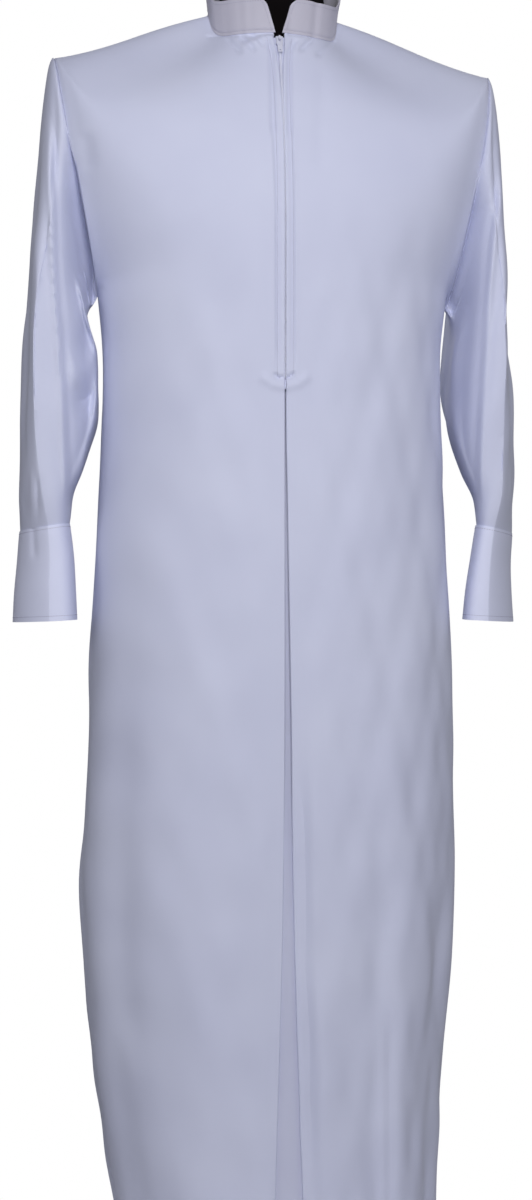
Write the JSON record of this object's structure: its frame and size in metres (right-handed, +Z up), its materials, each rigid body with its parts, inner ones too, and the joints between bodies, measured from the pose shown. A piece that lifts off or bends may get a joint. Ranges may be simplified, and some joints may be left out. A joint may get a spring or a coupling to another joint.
{
  "type": "alb on a dress form",
  "caption": "Long white alb with a stand collar, front zip, inverted front pleat and cuffed sleeves, worn by a limbless dress form on a round-based stand.",
  "frame": {"origin": "centre of the stand's underside, on the floor", "axes": "+Z up, -Y towards the alb's front, +X towards the wearer's left"},
  "size_m": [0.5577, 0.32, 1.5636],
  "materials": {
    "alb_cloth": "white polyester twill",
    "collar_cloth": "white twill over stiffening",
    "zip_tape": "woven tape with moulded coil",
    "zip_enamel": "white enamel",
    "form_jersey": "black jersey cover",
    "stand_steel": "black powder coat"
  },
  "bodies": {
    "garment_and_stand": {"front_right": "alb_cloth", "front_left": "alb_cloth", "back": "alb_cloth", "pleat_underlay": "alb_cloth", "sleeve_right": "alb_cloth", "sleeve_left": "alb_cloth", "cuff_right": "alb_cloth", "cuff_left": "alb_cloth", "collar": "collar_cloth", "zip_tape": "zip_tape", "zip_chain": "zip_tape", "zip_slider": "zip_enamel", "form_torso": "form_jersey", "stand_pole": "stand_steel", "stand_base": "stand_steel"},
    "pull": {"zip_pull": "zip_enamel"}
  },
  "joints": [
    {"name": "pull_swing", "type": "hinge", "parent": "garment_and_stand", "child": "pull", "pos_m": [0, -0.07424, 1.4473], "axis": [-1, 0, 0], "range_deg": [0, 140]}
  ]
}
